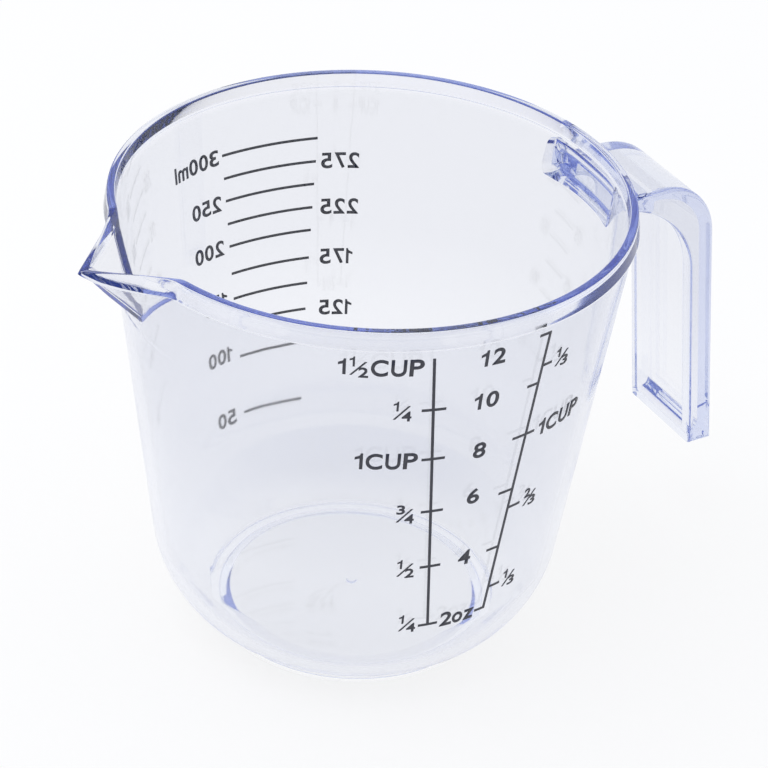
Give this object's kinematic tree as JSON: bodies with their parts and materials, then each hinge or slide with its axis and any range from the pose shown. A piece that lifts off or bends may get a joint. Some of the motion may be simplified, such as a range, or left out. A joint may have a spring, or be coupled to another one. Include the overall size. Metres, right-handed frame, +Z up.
{
  "type": "measuring cup",
  "caption": "Clear moulded measuring and mixing cup with a tapered round body, foot ring, thick rim, V pouring spout, flanged J handle and printed volume scales.",
  "frame": {"origin": "on the cup's axis, in the plane of the foot ring's underside", "axes": "+X from the axis towards the handle, -X towards the spout, +Z up along the cup's axis"},
  "size_m": [0.1262, 0.091, 0.0855],
  "materials": {
    "clear_plastic": "clear gloss with a faint blue tint where it is thick",
    "scale_ink": "flat charcoal printing ink"
  },
  "bodies": {
    "root": {"cup_wall": "clear_plastic", "cup_floor": "clear_plastic", "foot_ring": "clear_plastic", "gate_nub": "clear_plastic", "rim_band": "clear_plastic", "pouring_spout": "clear_plastic", "handle_root": "clear_plastic", "handle_web": "clear_plastic", "handle_left_rib": "clear_plastic", "handle_right_rib": "clear_plastic", "handle_end_rib": "clear_plastic", "cup_marks": "scale_ink", "ounce_marks": "scale_ink", "third_cup_marks": "scale_ink", "millilitre_marks": "scale_ink"}
  },
  "joints": []
}
